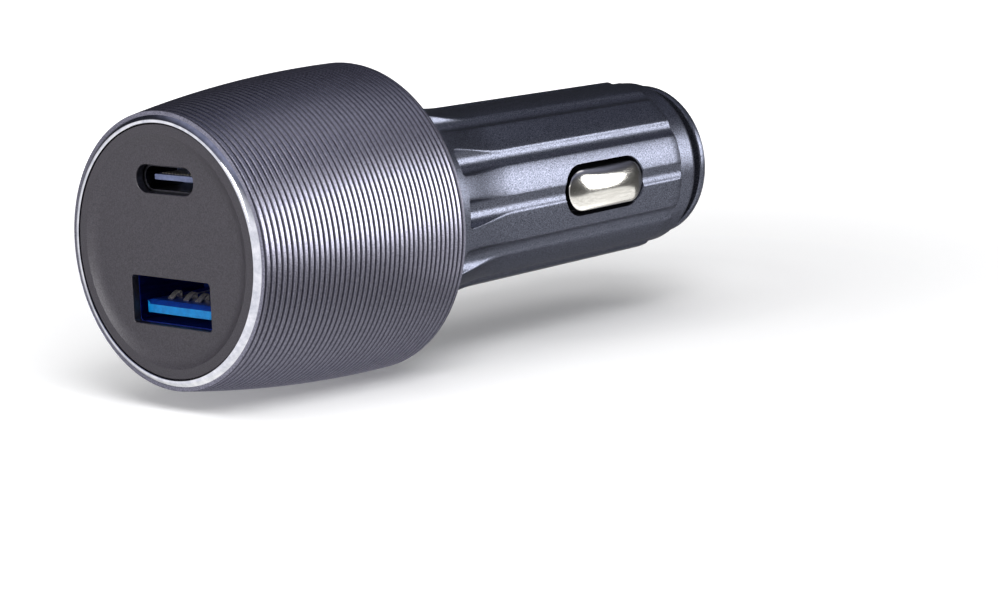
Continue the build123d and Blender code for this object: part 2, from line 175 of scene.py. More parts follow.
outline = [(lip_bore_r, liner_front_y), (lip_bore_r, -29.34), (14.24, rim_y), (14.50, rim_y)]
outline += [(14.57, -29.37), (14.97, -28.98), (15.02, -28.92), (head_radius(-28.86), -28.86)]
for ring in range(groove_count):
    root = rim_y + groove_pitch * (ring + 1)
    for share, depth in groove_shape:
        y = root + share * groove_pitch
        outline.append((head_radius(y) - depth * groove_depth, y))
outline += [(17.72, -0.34), (17.68, -0.16), (17.55, -0.03), (17.41, 0), (recess_r, 0)]
outline += [(recess_r, recess_y), (liner_bore_r, recess_y), (liner_bore_r, liner_front_y)]
outline.append((lip_bore_r, liner_front_y))
head = turned("head_sleeve_skin", outline, 216)

# Bead-blasted, anodised aluminium: satin metal with a fine sparkling grain. The real grain is
# about 0.05 mm, drawn here at 0.12 mm so that it shows. The grooves' roots get a darker copy of
# it: painted shade in the grooves.
anodised = grained(
    "anodised_aluminium_blasted", "#6c6b77", "#9897a5", (0.36, 0.66), 0.12, 0.004,
    Metallic=1.0, Roughness=0.38, Specular_Tint=(0.3, 0.3, 0.34, 1),
)
anodised_painted_groove_shade = grained(
    "anodised_aluminium_painted_groove_shade", "#4b4a54", "#65646f", (0.36, 0.66), 0.12, 0.004,
    Metallic=1.0, Roughness=0.45, Specular_Tint=(0.2, 0.2, 0.24, 1),
)

# Diamond-cut aluminium: bare and mirror bright, with faint patches along the turned lip.
cut_metal = grained(
    "aluminium_diamond_cut", "#d4d6de", "#f4f4f8", (0.3, 0.7), 0.9, 0.004,
    Metallic=1.0, Roughness=0.12,
)

head.data.materials.append(anodised)
head.data.materials.append(cut_metal)
head.data.materials.append(anodised_painted_groove_shade)
# The bright lip takes the cut metal; faces deep in the grooves take the painted groove shade.
for face in head.data.polygons:
    middle = face.center / MM
    radius = hypot(middle.x, middle.z)
    below_surface = head_radius(middle.y) - radius
    if middle.y < -28.9 and radius > lip_bore_r - 0.04:
        face.material_index = 1
    elif -28.8 < middle.y < -0.5 and 0.3 * groove_depth < below_surface < 0.5:
        face.material_index = 2
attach(head, "housing")
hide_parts("head_sleeve")

# Face plate: an ABS cap with a flat edge, a dished slope and the two port holes. It is pressed
# into the sleeve's rim, with a hairline gap round it.
plate_r = 14.07
plate_skirt_r = 12.87
plate_y = -29.25
floor_y = -28.70
plate_back = -27.70
dish_r = 11.2
dish_slope = 1.75
dish_rise = 0.55
dish_steps = 12
usb_a_z = -5.71
usb_c_z = 7.85
# Width, height and corner radius of the port holes.
port_a_hole = (12.63, 5.33, 0.4)
port_c_hole = (9.21, 3.11, 1.555)


def bar(name, width, height, corner, z, front, back):
    """A bar along the plug's axis with rounded corners: a plane, its corners bevelled, then extruded."""
    bpy.ops.object.select_all(action="DESELECT")
    bpy.ops.mesh.primitive_plane_add(size=1, rotation=(pi / 2, 0, 0))
    piece = bpy.context.object
    piece.name = name
    bpy.ops.object.transform_apply(location=False, rotation=True, scale=False)
    bpy.ops.object.mode_set(mode="EDIT")
    bpy.ops.mesh.select_all(action="SELECT")
    bpy.ops.transform.resize(value=(width * MM, 1, height * MM))
    bpy.ops.transform.translate(value=(0, front * MM, z * MM))
    if corner:
        bpy.ops.mesh.bevel(affect="VERTICES", offset=corner * MM, segments=12)
        bpy.ops.mesh.select_all(action="SELECT")
        bpy.ops.mesh.remove_doubles(threshold=0.001 * MM)
    bpy.ops.mesh.select_all(action="SELECT")
    bpy.ops.mesh.extrude_region_move(TRANSFORM_OT_translate={"value": (0, (back - front) * MM, 0)})
    bpy.ops.mesh.select_all(action="SELECT")
    bpy.ops.mesh.normals_make_consistent(inside=False)
    bpy.ops.object.mode_set(mode="OBJECT")
    return piece


def combine(piece, other, operation):
    """Cut the other piece out of this one, or unite them, and clear the other away."""
    bpy.ops.object.select_all(action="DESELECT")
    bpy.context.view_layer.objects.active = piece
    piece.select_set(True)
    modifier = piece.modifiers.new("combine", "BOOLEAN")
    modifier.object = other
    modifier.operation = operation
    modifier.solver = "EXACT"
    bpy.ops.object.modifier_apply(modifier="combine")
    bpy.data.objects.remove(other)


def smooth(piece, degrees):
    """Shade smooth up to this angle, with the broad faces setting the normals."""
    bpy.ops.object.select_all(action="DESELECT")
    bpy.context.view_layer.objects.active = piece
    piece.select_set(True)
    bpy.ops.object.shade_smooth_by_angle(angle=radians(degrees))
    modifier = piece.modifiers.new("normals", "WEIGHTED_NORMAL")
    modifier.keep_sharp = True
    bpy.ops.object.modifier_apply(modifier="normals")


outline = [(0, floor_y)]
for step in range(dish_steps + 1):
    along, rise = dish_slope * step / dish_steps, dish_rise * (step / dish_steps) ** 2
    outline.append((dish_r + along, floor_y - rise))
outline += [(plate_r - 0.06, plate_y), (plate_r, plate_y + 0.06), (plate_r, liner_front_y)]
outline += [(plate_skirt_r, liner_front_y), (plate_skirt_r, plate_back), (0, plate_back)]
plate = turned("face_plate_skin", outline, 192)
combine(plate, bar("port_a_cutter", *port_a_hole, usb_a_z, -30, -27), "DIFFERENCE")
combine(plate, bar("port_c_cutter", *port_c_hole, usb_c_z, -30, -27), "DIFFERENCE")


def port_mouth(edge):
    """True for the front edges of the two port holes."""
    first, second = (corner.co / MM for corner in edge.verts)
    flat = abs(first.y - floor_y) < 0.01 and abs(second.y - floor_y) < 0.01
    walls = [face for face in edge.link_faces if abs(face.normal.y) < 0.5]
    return flat and len(walls) == 1


def square_on(face):
    """True for faces square to the plug's axis."""
    return abs(face.normal.y) > 0.9999


bpy.ops.object.mode_set(mode="EDIT")
pick(plate, "faces", square_on)
bpy.ops.mesh.dissolve_limited(angle_limit=radians(0.5))
pick(plate, "edges", port_mouth)
bpy.ops.mesh.bevel(offset=0.13 * MM, segments=3)
bpy.ops.object.mode_set(mode="OBJECT")
bpy.ops.object.shade_smooth_by_angle(angle=radians(35))
for face in plate.data.polygons:
    if square_on(face):
        face.use_smooth = False

# Dark grey ABS from a spark-eroded mould: matte, with a pebbled grain of about 0.15 mm that
# glints where it faces the light.
face_abs = grained(
    "abs_spark_texture", "#322f35", "#47444b", (0.3, 0.7), 0.15, 0.02,
    Roughness=0.45, Specular_IOR_Level=0.35,
)
# The holes' walls are smooth: the spark texture stops at their edges. Their near black is painted
# shade, for the shade inside the holes.
hole_abs_painted_shade = grained("abs_smooth_wall_painted_shade", "#0c0c12", "#15151c", (0.3, 0.7), 0.5, 0.002, Roughness=0.35)
plate.data.materials.append(face_abs)
plate.data.materials.append(hole_abs_painted_shade)
# The walls in the holes take the painted shade.
for face in plate.data.polygons:
    middle = face.center / MM
    near_ports = hypot(middle.x, middle.z) < 12 and middle.y < plate_back
    if abs(face.normal.y) < 0.3 and near_ports:
        face.material_index = 1
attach(plate, "housing")
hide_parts("face_plate")

# Barrel: one ABS moulding, from the liner inside the sleeve to the pilot ring at the nose, with
# twelve flutes down it and a window each side. It is sprayed with dark blue-grey metallic paint.
liner_inner_r = 13.6
liner_outer_r = 14.85
disc_r = 16.85
disc_back = -0.25
bore_r = 8.0
pilot_r = 10.0
pilot_end = 49.35
land_start = 16.0
land_start_r = 10.74
land_end = 46.35
land_end_r = 10.45
land_taper = (land_end_r - land_start_r) / (land_end - land_start)
# The flare's points: y, radius and slope.
flare = (
    (disc_back, 13.0, -0.314), (7.0, 11.9, -0.139), (10.0, 11.4, -0.179),
    (land_start, land_start_r, land_taper),
)
flute_turn = pi / 6
flute_start = 6.8
flute_r = 1.7
flute_depth = 0.32
flute_end_round = 0.6
mouth_round = 0.2
floor_end = 10
mouth_end = 14
columns = 20
contact_middle = 31.96
window_length = 14.3
window_width = 6.0
window_edge = 0.2


def flare_radius(y):
    """Radius of the flare: a smooth curve through its points, each with its slope."""
    for (start, start_r, start_slope), (end, end_r, end_slope) in zip(flare, flare[1:]):
        if y <= end:
            length = end - start
            t = (y - start) / length
            lean = start_slope * length * t * (1 - t) ** 2 - end_slope * length * t ** 2 * (1 - t)
            return start_r * (1 + 2 * t) * (1 - t) ** 2 + end_r * t ** 2 * (3 - 2 * t) + lean


def fluted(column, y, land):
    """Turn and radius of a point in the fluted section at y, where the land has this radius.

    Columns up to floor_end lie on the flute's round floor, up to mouth_end on its rounded mouth,
    the rest on the land.
    """
    depth_in = min(max(y - flute_start, 0), flute_end_round)
    short_of_full = flute_end_round - depth_in
    cutter = flute_r - flute_end_round + sqrt(flute_end_round ** 2 - short_of_full ** 2)
    middle = land_start_r - flute_depth + flute_r + land_taper * (y - land_start)
    mouth = acos((middle ** 2 + cutter ** 2 - land ** 2) / (2 * middle * cutter))
    corner = Vector((middle - cutter * cos(mouth), cutter * sin(mouth)))
    land_turn = atan2(corner.y, corner.x) + mouth_round / land
    if column >= mouth_end:
        across_land = flute_turn / 2 - land_turn
        return land_turn + across_land * (column - mouth_end) / (columns - mouth_end), land
    floor_turn = mouth - mouth_round / cutter
    if column <= floor_end:
        turn = floor_turn * column / floor_end
        point = Vector((middle - cutter * cos(turn), cutter * sin(turn)))
    else:
        s = (column - floor_end) / (mouth_end - floor_end)
        before = Vector((middle - cutter * cos(floor_turn), cutter * sin(floor_turn)))
        after = Vector((land * cos(land_turn), land * sin(land_turn)))
        point = before * (1 - s) ** 2 + corner * 2 * s * (1 - s) + after * s ** 2
    return atan2(point.y, point.x), point.length


outline = [(liner_inner_r, liner_front_y), (liner_outer_r, liner_front_y)]
outline += [(liner_outer_r, recess_y), (disc_r, recess_y), (disc_r, disc_back)]
rows = [disc_back + 0.47 * step for step in range(15)]
rows += [6.6, flute_start, 6.81, 6.84, 6.9, 7.0, 7.1, 7.2, 7.4]
rows += [7.4 + 0.43 * step for step in range(1, 21)]
outline += [(flare_radius(y), y) for y in rows]
for step in range(1, 25):
    radius = land_start_r + (land_end_r - land_start_r) * step / 24
    outline.append((radius, land_start + 30.15 * step / 24))
outline += [(10.42, 46.25), (10.35, 46.32), (10.25, land_end), (10.02, land_end)]
outline += [(pilot_r, y) for y in (46.4, 46.7, 47.8, 48.9, 49.2)]
outline += [(9.93, 49.33), (9.85, pilot_end), (bore_r, pilot_end), (bore_r, 2.0)]
outline += [(liner_inner_r, recess_y), (liner_inner_r, liner_front_y)]
barrel = turned("plug_barrel_skin", outline, 24 * columns)

# The turned skin's own points are drawn in to the flutes, because the lands' long edges are
# rounded along the taper and the flare, where a boolean leaves nothing that a bevel can follow.
for point in barrel.data.vertices:
    y = point.co.y / MM
    radius = hypot(point.co.x, point.co.z) / MM
    if -0.3 < y < land_end + 0.01 and pilot_r + 0.1 < radius < 13.1:
        turn = atan2(point.co.z, point.co.x)
        flute = round(turn / flute_turn)
        column = round((turn - flute * flute_turn) / (flute_turn / 2) * columns)
        if y > flute_start + 0.005:
            aside, out = fluted(abs(column), y, radius)
        else:
            aside = fluted(abs(column), flute_start, flare_radius(flute_start))[0]
            out = radius
        turn = flute * flute_turn + (aside if column > 0 else -aside)
        point.co.x = out * cos(turn) * MM
        point.co.z = out * sin(turn) * MM

# The windows are cut by a stadium that opens at the surface, which eases the holes' edges.
for side in (1, -1):
    stadium = bar("stadium", window_length, window_width, window_width / 2, 0, 0, 1)
    corners = [(v.co.x / MM, v.co.z / MM) for v in stadium.data.vertices if v.co.y < 0.5 * MM]
    bpy.data.objects.remove(stadium)
    loop = sorted(corners, key=lambda corner: atan2(corner[1], corner[0]))
    mesh = bmesh.new()
    rows = []
    for level in range(4):
        row = []
        for along, up in loop:
            surface = sqrt(10.5 ** 2 - up ** 2) - 0.12
            x = (6.0, surface, surface + window_edge, 13.0)[level]
            spread = 1 + (0, 0, window_edge, window_edge)[level] / hypot(along, up)
            place = (side * x * MM, (contact_middle + along * spread) * MM, up * spread * MM)
            row.append(mesh.verts.new(place))
        rows.append(row)
    for lower, upper in zip(rows, rows[1:]):
        for i in range(len(loop)):
            j = (i + 1) % len(loop)
            mesh.faces.new((lower[i], lower[j], upper[j], upper[i]))
    mesh.faces.new(rows[0])
    mesh.faces.new(rows[-1])
    bmesh.ops.recalc_face_normals(mesh, faces=mesh.faces)
    shape = bpy.data.meshes.new("window_cutter")
    mesh.to_mesh(shape)
    mesh.free()
    cutter = bpy.data.objects.new("window_cutter", shape)
    bpy.context.collection.objects.link(cutter)
    combine(barrel, cutter, "DIFFERENCE")
smooth(barrel, 32)

# Sprayed metallic paint: a dark blue-grey base with aluminium flake. The real flake is about
# 0.03 mm, drawn here at 0.12 mm so that its glitter shows in the highlights.
paint = grained(
    "metallic_paint_blue_grey", "#2e3038", "#686b78", (0.34, 0.68), 0.12, 0.003,
    Metallic=0.85, Roughness=0.33, Specular_Tint=(0.45, 0.45, 0.48, 1),
)
barrel.data.materials.append(paint)
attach(barrel, "housing")
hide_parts("plug_barrel")

# Nose cap: a second moulding, painted with the barrel. Its neck leaves a dark groove behind a
# thin flange, and its spigot is pressed into the barrel and guides the tip.
neck_r = 8.3
flange_r = 9.36
flange_y = 51.2
flange_front = 52.2
nose_front = 53.4
guide_r = 3.06
spigot_bore_r = 4.4
spigot_back = 41.0
outline = [(spigot_bore_r, spigot_back), (bore_r - 0.05, spigot_back), (bore_r - 0.05, pilot_end)]
outline += [(neck_r, pilot_end), (neck_r, flange_y), (flange_r, flange_y)]
outline += [(flange_r, flange_front), (7.4, flange_front), (4.5, nose_front)]
outline += [(guide_r, nose_front), (guide_r, 51.4), (spigot_bore_r, 51.4)]
outline.append((spigot_bore_r, spigot_back))
nose = turned("nose_cap_skin", outline, 160, rounding=0.22)
nose.data.materials.append(paint)
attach(nose, "housing")
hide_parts("nose_cap")

# Centre pin: turned brass, nickel plated and polished, with a domed tip that the spring pushes
# out through the nose cap.
pin_r = 3.0
dome_start = 57.6
dome_height = 1.4
outline = [(0, 48.6), (2.2, 48.6), (2.2, 50.0), (4.25, 50.0), (4.25, 51.4), (pin_r, 51.4)]
outline.append((pin_r, dome_start))
for step in range(1, 11):
    t = step / 10
    outline.append((pin_r * cos(t * pi / 2), dome_start + dome_height * sin(t * pi / 2)))
pin = turned("centre_pin_skin", outline, 96, rounding=0.1)

# Bright nickel plate: a warm white metal with a near mirror polish and faint polishing lines.
nickel = grained(
    "nickel_plate_polished", "#c9c6bf", "#e4e2dc", (0.2, 0.8), 0.2, 0.0001, (1, 0.08, 1),
    Metallic=1.0, Roughness=0.16,
)
pin.data.materials.append(nickel)
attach(pin, "tip")
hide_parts("centre_pin")

# Side contacts: stadium buttons, deep drawn from steel strip, with a crowned top and a flat
# foot that keeps them in the barrel. They are nickel plated and polished.
foot_under = 6.69
wall_top = 10.5
button_length = 13.3
half_width = 2.5
crown = 1.5
crown_steps = 14
end_fall = 0.8
# Width, length and corner radius of the foot, and of the hollow under the crown.
foot = (7.0, 16.6, 1.5)
hollow = (4.0, 12.3, 2.0)

# Painted shade: the nickel plate on the buttons' walls, deep in the window, is painted almost black and
# made dull.
nickel_painted_shade = grained(
    "nickel_plate_painted_shade", "#161618", "#222226", (0.3, 0.7), 0.2, 0.001,
    Metallic=1.0, Roughness=0.5,
)

# A button is made facing the tip, and then turned to face out of its window.
facing = {
    "right": Matrix(((0, 1, 0, 0), (0, 0, 1, 0), (1, 0, 0, 0), (0, 0, 0, 1))),
    "left": Matrix(((0, -1, 0, 0), (0, 0, 1, 0), (-1, 0, 0, 0), (0, 0, 0, 1))),
}
for side in ("right", "left"):
    button = bar(
        "side_contact_" + side + "_skin",
        2 * half_width, button_length, half_width, 0, foot_under + 0.1, wall_top,
    )
    bpy.ops.object.mode_set(mode="EDIT")
    pick(button, "edges", lambda edge: edge.calc_length() > 5 * MM)
    bpy.ops.mesh.subdivide(number_cuts=11)
    pick(button, "faces", lambda face: face.normal.y > 0.9)
    inset, height = 0, 0
    for step in range(1, crown_steps + 1):
        next_inset = (half_width - 0.12) * (1 - cos(step / crown_steps * pi / 2))
        next_height = crown * (1 - (1 - next_inset / half_width) ** 2) ** 0.5
        bpy.ops.mesh.inset(thickness=(next_inset - inset) * MM, depth=(next_height - height) * MM)
        inset, height = next_inset, next_height
    bpy.ops.mesh.quads_convert_to_tris(ngon_method="BEAUTY")
    bpy.ops.object.mode_set(mode="OBJECT")
    for point in button.data.vertices:
        raised = point.co.y - wall_top * MM
        if raised > 0:
            point.co.y -= end_fall * raised * (point.co.z / (button_length / 2 * MM)) ** 2
    combine(button, bar("foot", *foot, 0, foot_under, foot_under + 0.45), "UNION")
    combine(button, bar("hollow", *hollow, 0, foot_under - 1, wall_top), "DIFFERENCE")
    button.data.materials.append(nickel)
    button.data.materials.append(nickel_painted_shade)
    # The walls and foot below the crown take the painted shade.
    for face in button.data.polygons:
        face.material_index = int(face.center.y < (wall_top - 0.01) * MM)
    button.data.transform(Matrix.Translation((0, contact_middle * MM, 0)) @ facing[side])
    smooth(button, 35)
    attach(button, side + "_contact")
    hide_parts("side_contact_" + side)

# USB-A port: a shell folded from tinned steel strip, and a blue PBT tongue on a block at its back.
# Four sprung contacts of gold-plated bronze lie on the tongue.


def soften(piece, width):
    """Round the piece's sharp edges by this width in mm."""
    bpy.ops.object.select_all(action="DESELECT")
    bpy.context.view_layer.objects.active = piece
    piece.select_set(True)
    modifier = piece.modifiers.new("edges", "BEVEL")
    modifier.width = width * MM
    modifier.segments = 2
    modifier.limit_method = "ANGLE"
    bpy.ops.object.modifier_apply(modifier="edges")


def strip(name, path, width, thickness):
    """A bent strip: a path of (y, z) points in mm, widened along x, thickened, with eased edges."""
    bpy.ops.object.select_all(action="DESELECT")
    bpy.ops.mesh.primitive_plane_add(size=MM)
    piece = bpy.context.object
    piece.name = name
    bpy.ops.object.mode_set(mode="EDIT")
    bpy.ops.mesh.merge(type="CENTER")
    y, z = path[0]
    bpy.ops.transform.translate(value=(-width / 2 * MM, y * MM, z * MM))
    for next_y, next_z in path[1:]:
        step = (0, (next_y - y) * MM, (next_z - z) * MM)
        bpy.ops.mesh.extrude_region_move(TRANSFORM_OT_translate={"value": step})
        y, z = next_y, next_z
    bpy.ops.mesh.select_all(action="SELECT")
    bpy.ops.mesh.extrude_region_move(TRANSFORM_OT_translate={"value": (width * MM, 0, 0)})
    bpy.ops.object.mode_set(mode="OBJECT")
    modifier = piece.modifiers.new("thickness", "SOLIDIFY")
    modifier.thickness = thickness * MM
    modifier.offset = 0
    bpy.ops.object.modifier_apply(modifier="thickness")
    soften(piece, 0.03)
    smooth(piece, 35)
    return piece


# Tinned steel, painted dark: painted shade for the inside of the port.
port_steel_painted_shade = grained(
    "tinned_steel", "#303035", "#46464c", (0.3, 0.7), 0.3, 0.002, (1, 0.1, 1),
    Metallic=1.0, Roughness=0.3,
)
# The same steel round the blue tongue, with the tongue's blue reflection painted in as navy.
steel_painted_blue_reflection = grained(
    "tinned_steel_painted_blue_reflection", "#182268", "#223088", (0.3, 0.7), 0.3, 0.002, (1, 0.1, 1),
    Metallic=1.0, Roughness=0.4,
)

# Width, height and corner radius, outside and inside.
shell_a_outside = (13.1, 5.72, 0.7)
shell_a_inside = (12.5, 5.12, 0.4)
shell_a_back = -13.7
shell_a = bar("usb_a_shell_skin", *shell_a_outside, usb_a_z, plate_back, shell_a_back)
combine(shell_a, bar("shell_hollow", *shell_a_inside, usb_a_z, -28, -13), "DIFFERENCE")
soften(shell_a, 0.06)
smooth(shell_a, 35)
shell_a.data.materials.append(steel_painted_blue_reflection)
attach(shell_a, "housing")
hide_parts("usb_a_shell")

# Moulded PBT: glossy bright blue, faintly uneven from the mould. A deeper blue is painted shade:
# on the top and the chamfer, and on the block deep in the port.
blue_pbt = grained(
    "pbt_blue", "#0078c4", "#0090dc", (0.3, 0.7), 0.6, 0.004,
    Roughness=0.35, Specular_IOR_Level=0.2,
)
blue_pbt_painted_shade = grained("pbt_blue_painted_shade", "#002c86", "#003c9e", (0.3, 0.7), 0.6, 0.004, Roughness=0.35)
tongue_front = -27.2
tongue_z = -6.7
tongue_a = bar("usb_a_tongue_skin", 11.1, 1.4, 0.12, tongue_z, tongue_front, -18.0)


def tongue_lip(edge):
    """True for the upper front edge of the USB-A tongue."""
    return all(v.co.y < (tongue_front + 0.01) * MM and v.co.z > -6.05 * MM for v in edge.verts)


bpy.ops.object.mode_set(mode="EDIT")
pick(tongue_a, "edges", tongue_lip)
bpy.ops.mesh.bevel(offset=0.48 * MM, segments=1)
bpy.ops.object.mode_set(mode="OBJECT")
combine(tongue_a, bar("block", 12.4, 5.0, 0.35, usb_a_z, -18.2, -13.75), "UNION")
soften(tongue_a, 0.06)
smooth(tongue_a, 35)
tongue_a.data.materials.append(blue_pbt)
tongue_a.data.materials.append(blue_pbt_painted_shade)
# Upward faces and the block at the back take the painted shade.
for face in tongue_a.data.polygons:
    if face.normal.z > 0.3 or face.center.y > -19 * MM:
        face.material_index = 1
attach(tongue_a, "housing")
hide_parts("usb_a_tongue")

# Gold-plated bronze: a pale warm metal, drawn smooth.
gold = grained(
    "gold_plate_on_bronze", "#c4bfb2", "#e4e0d6", (0.3, 0.7), 0.3, 0.001,
    Metallic=0.6, Roughness=0.3,
)
contact_width = 0.8
contact_gauge = 0.2
path = [(-25.7, -6.0), (-25.2, -5.64), (-24.7, -5.34), (-24.42, -5.27), (-24.3, -5.4)]
path += [(-24.28, -6.05), (-18.3, -6.05)]
contacts_a = strip("usb_a_contacts_skin", path, contact_width, contact_gauge)
contacts_a.data.transform(Matrix.Translation((-3.5 * MM, 0, 0)))
for x in (-1.0, 1.0, 3.5):
    another = strip("contact", path, contact_width, contact_gauge)
    another.data.transform(Matrix.Translation((x * MM, 0, 0)))
    bpy.ops.object.select_all(action="DESELECT")
    another.select_set(True)
    contacts_a.select_set(True)
    bpy.context.view_layer.objects.active = contacts_a
    bpy.ops.object.join()
contacts_a.data.materials.append(gold)
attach(contacts_a, "housing")
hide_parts("usb_a_contacts")

# USB-C port: a deep-drawn steel shell with round ends, and a grey LCP tongue on a block. The
# tongue's 24 gold pads are as thin as printed lines, so they stay as the CAD has them.
shell_c_outside = (8.94, 3.16, 1.58)
shell_c_inside = (8.34, 2.56, 1.28)
shell_c_back = -20.4
shell_c = bar("usb_c_shell_skin", *shell_c_outside, usb_c_z, plate_back, shell_c_back)
combine(shell_c, bar("shell_hollow", *shell_c_inside, usb_c_z, -28, -20), "DIFFERENCE")
soften(shell_c, 0.06)
smooth(shell_c, 35)
shell_c.data.materials.append(port_steel_painted_shade)
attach(shell_c, "housing")
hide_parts("usb_c_shell")

grey_lcp = grained("lcp_grey", "#6c77a0", "#828db8", (0.3, 0.7), 0.4, 0.003, Roughness=0.4)
tongue_c = bar("usb_c_tongue_skin", 6.7, 0.6, 0.1, usb_c_z, -27.06, shell_c_back)
combine(tongue_c, bar("block", 8.3, 2.5, 1.2, usb_c_z, -23.0, -20.42), "UNION")
soften(tongue_c, 0.06)
smooth(tongue_c, 35)
tongue_c.data.materials.append(grey_lcp)
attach(tongue_c, "housing")
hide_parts("usb_c_tongue")

# Tip spring: a coil of hard-drawn steel wire whose end turns are closed up. It stands on the
# terminal cup and shortens as the tip is pushed in.
spring_foot = 41.5
wire = 0.5
coil_r = 2.9
coil_turns = 5
coil_steps = 32
open_pitch = 7.0 / 3
wound = bpy.data.curves.new("pin_spring_skin", "CURVE")
wound.dimensions = "3D"
wound.bevel_depth = wire / 2 * MM
wound.bevel_resolution = 3
wound.use_fill_caps = True
line = wound.splines.new("POLY")
line.points.add(coil_turns * coil_steps)
for step, point in enumerate(line.points):
    turns = step / coil_steps
    open_turns = min(max(turns - 1, 0), coil_turns - 2)
    y = (
        spring_foot + wire / 2 + wire * (turns - open_turns) + open_pitch * open_turns
        - 0.5 * wire * min(turns, 1) - 0.5 * wire * max(turns - coil_turns + 1, 0)
    )
    turn = 2 * pi * turns
    point.co = (coil_r * cos(turn) * MM, y * MM, coil_r * sin(turn) * MM, 1)
spring = bpy.data.objects.new("pin_spring_skin", wound)
bpy.context.collection.objects.link(spring)
bpy.ops.object.select_all(action="DESELECT")
bpy.context.view_layer.objects.active = spring
spring.select_set(True)
bpy.ops.object.convert(target="MESH")
bpy.ops.object.shade_smooth_by_angle(angle=radians(50))

spring_steel = grained(
    "spring_steel_bright", "#8c8c8e", "#b0b0b3", (0.3, 0.7), 0.25, 0.002,
    Metallic=1.0, Roughness=0.3,
)
spring.data.materials.append(spring_steel)
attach(spring, "housing")
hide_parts("pin_spring")
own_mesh(spring)

# Leaf springs: bowed strips of steel on the earth strap, one behind each side contact. They
# flatten towards the strap as the car's socket pushes the contacts in.
leaf_half_length = 6.4
leaf_top = 6.52
leaf_bow = 2.09
upright = {
    "right": Matrix(((0, 0, 1, 0), (0, 1, 0, 0), (-1, 0, 0, 0), (0, 0, 0, 1))),
    "left": Matrix(((0, 0, -1, 0), (0, 1, 0, 0), (1, 0, 0, 0), (0, 0, 0, 1))),
}
for side, sign in (("right", 1), ("left", -1)):
    path = []
    for step in range(-12, 13):
        y = contact_middle + leaf_half_length * step / 12
        path.append((y, leaf_top - leaf_bow * (step / 12) ** 2))
    leaf = strip("contact_spring_" + side + "_skin", path, 2.0, 0.25)
    leaf.data.transform(upright[side])
    leaf.data.materials.append(spring_steel)
    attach(leaf, "housing")
    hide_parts("contact_spring_" + side)
    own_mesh(leaf)

# What stays as the CAD has it: the strap and the cup, stamped from brass, the two boards and
# what is soldered to them. All of it is closed inside the head and the barrel.
brass = grained(
    "brass_rolled", "#a8904f", "#c9b271", (0.3, 0.7), 0.3, 0.002, (1, 0.1, 1),
    Metallic=1.0, Roughness=0.35,
)
resist = grained("solder_resist_green", "#0d3a20", "#14502e", (0.3, 0.7), 0.5, 0.005, Roughness=0.35)
nylon = grained("nylon_black", "#0b0b0d", "#17171a", (0.3, 0.7), 0.3, 0.006, Roughness=0.55)
epoxy = grained("epoxy_mould_compound", "#101012", "#1e1e21", (0.3, 0.7), 0.1, 0.006, Roughness=0.6)
ferrite = grained("ferrite_pressed", "#1c1c1f", "#303035", (0.3, 0.7), 0.12, 0.01, Roughness=0.65)
can = grained(
    "aluminium_drawn_can", "#a9a9ad", "#cfcfd3", (0.3, 0.7), 0.4, 0.002, (1, 0.1, 1),
    Metallic=1.0, Roughness=0.25,
)
for name, material, slot in (
    ("earth_strap", brass, "brass_plate"),
    ("positive_terminal", brass, "brass_plate"),
    ("main_board", resist, "board_laminate"),
    ("usb_c_board", resist, "board_laminate"),
    ("header_base", nylon, "black_plastic"),
    ("header_pins", gold, "gold_plate"),
    ("usb_c_contacts", gold, "gold_plate"),
    ("power_choke", ferrite, "ferrite"),
    ("input_capacitor", can, "can_aluminium"),
    ("output_capacitor", can, "can_aluminium"),
    ("converter_chip", epoxy, "black_plastic"),
    ("controller_chip", epoxy, "black_plastic"),
):
    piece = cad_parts[name]
    piece.data.materials.clear()
    piece.data.materials.append(material)

# Floor: a plain white sweep. Its glow is painted light, weaker near the barrel and stronger away
# from it, so that it renders white and keeps the plug's soft shadow.
floor_z = -17.8
glow_centre = (-12, 50, floor_z)
floor_white, shader = new_material(
    "white_sweep", Roughness=0.9, Specular_IOR_Level=0.1,
    Base_Color=colour("#ededee"), Emission_Color=colour("#ffffff"),
)
place = node(floor_white, "TexCoord").outputs["Object"]
glow_place = [value * MM for value in glow_centre]
away = node(floor_white, "VectorMath", {0: place, 1: glow_place}, operation="DISTANCE")
painted_floor_glow = node(
    floor_white, "MapRange",
    {"Value": away.outputs["Value"], "From Min": 0.03, "From Max": 0.21, "To Min": 0.06, "To Max": 0.9},
)
join(floor_white, painted_floor_glow.outputs["Result"], shader.inputs["Emission Strength"])
bpy.ops.object.select_all(action="DESELECT")
bpy.ops.mesh.primitive_plane_add(size=8, location=(0, 0, floor_z * MM))
bpy.ops.object.transform_apply(location=True)
floor = bpy.context.object
floor.name = "table"
floor.data.materials.append(floor_white)
floor.visible_glossy = False

# Camera: stands where the photograph's did, about 0.37 m from the plug. Its focal length was
# fitted in pixels of the photograph.
photo_width = 1000
focal_pixels = 3416.19
sensor_width = 36
turn, rise, roll = radians(43.122), radians(9.8), radians(-2.401)
centre = (277.726 * MM, -272.698 * MM, 57.164 * MM)
back = (sin(turn) * cos(rise), -cos(turn) * cos(rise), sin(rise))
right = (cos(turn), sin(turn), 0)
up = (
    back[1] * right[2] - back[2] * right[1],
    back[2] * right[0] - back[0] * right[2],
    back[0] * right[1] - back[1] * right[0],
)
tilted_right = [r * cos(roll) + u * sin(roll) for r, u in zip(right, up)]
tilted_up = [u * cos(roll) - r * sin(roll) for r, u in zip(right, up)]
camera = bpy.data.objects.new("camera", bpy.data.cameras.new("camera"))
bpy.context.collection.objects.link(camera)
stance = [[tilted_right[i], tilted_up[i], back[i], centre[i]] for i in range(3)]
camera.matrix_world = Matrix(stance + [[0, 0, 0, 1]])
camera.data.sensor_width = sensor_width
camera.data.lens = focal_pixels * sensor_width / photo_width
camera.data.clip_start = 0.01
bpy.context.scene.camera = camera

